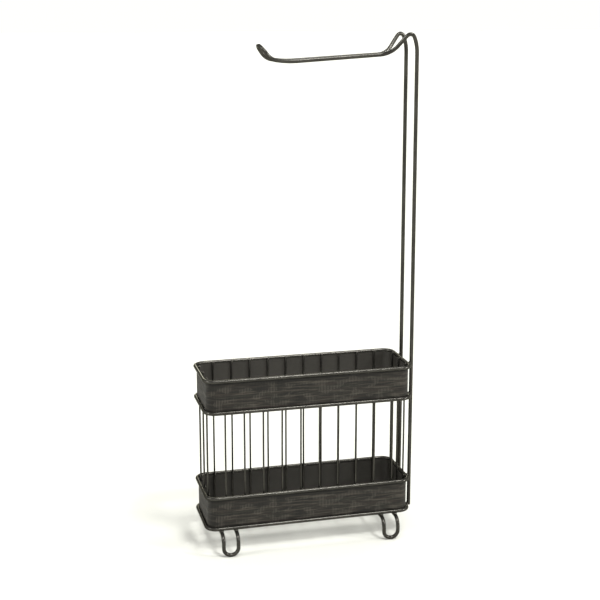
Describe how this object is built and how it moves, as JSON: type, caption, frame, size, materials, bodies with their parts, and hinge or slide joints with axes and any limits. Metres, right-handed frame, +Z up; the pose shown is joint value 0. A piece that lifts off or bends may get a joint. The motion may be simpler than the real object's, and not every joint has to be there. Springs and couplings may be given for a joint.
{
  "type": "toilet paper holder",
  "caption": "Free-standing wire toilet paper holder: twin-wire pole and roll arm rising from a slim magazine basket with woven bands and looped wire feet.",
  "frame": {"origin": "middle of the bounding box, on the floor", "axes": "+X along the basket towards the pole, +Y from the front of the basket to its back, +Z up the pole"},
  "size_m": [0.2902, 0.1232, 0.6759],
  "materials": {
    "bronze_wire": "satin dark bronze paint",
    "woven_band": "coarse flat weave in brown and black"
  },
  "bodies": {
    "root": {"lower_band_bottom_ring": "bronze_wire", "lower_band_top_ring": "bronze_wire", "upper_band_bottom_ring": "bronze_wire", "basket_rim": "bronze_wire", "lower_woven_band": "woven_band", "upper_woven_band": "woven_band", "front_upright_01": "bronze_wire", "front_upright_02": "bronze_wire", "front_upright_03": "bronze_wire", "front_upright_04": "bronze_wire", "front_upright_05": "bronze_wire", "front_upright_06": "bronze_wire", "front_upright_07": "bronze_wire", "front_upright_08": "bronze_wire", "front_upright_09": "bronze_wire", "front_upright_10": "bronze_wire", "back_upright_01": "bronze_wire", "back_upright_02": "bronze_wire", "back_upright_03": "bronze_wire", "back_upright_04": "bronze_wire", "back_upright_05": "bronze_wire", "back_upright_06": "bronze_wire", "back_upright_07": "bronze_wire", "back_upright_08": "bronze_wire", "back_upright_09": "bronze_wire", "back_upright_10": "bronze_wire", "left_upright_1": "bronze_wire", "left_upright_2": "bronze_wire", "left_upright_3": "bronze_wire", "right_upright_1": "bronze_wire", "right_upright_2": "bronze_wire", "right_upright_3": "bronze_wire", "floor_cross_wire_01": "bronze_wire", "floor_cross_wire_02": "bronze_wire", "floor_cross_wire_03": "bronze_wire", "floor_cross_wire_04": "bronze_wire", "floor_cross_wire_05": "bronze_wire", "floor_cross_wire_06": "bronze_wire", "floor_cross_wire_07": "bronze_wire", "floor_cross_wire_08": "bronze_wire", "floor_cross_wire_09": "bronze_wire", "floor_cross_wire_10": "bronze_wire", "floor_long_wire_1": "bronze_wire", "floor_long_wire_2": "bronze_wire", "floor_long_wire_3": "bronze_wire", "left_foot_loop": "bronze_wire", "right_foot_loop": "bronze_wire", "pole_and_roll_arm": "bronze_wire"}
  },
  "joints": []
}
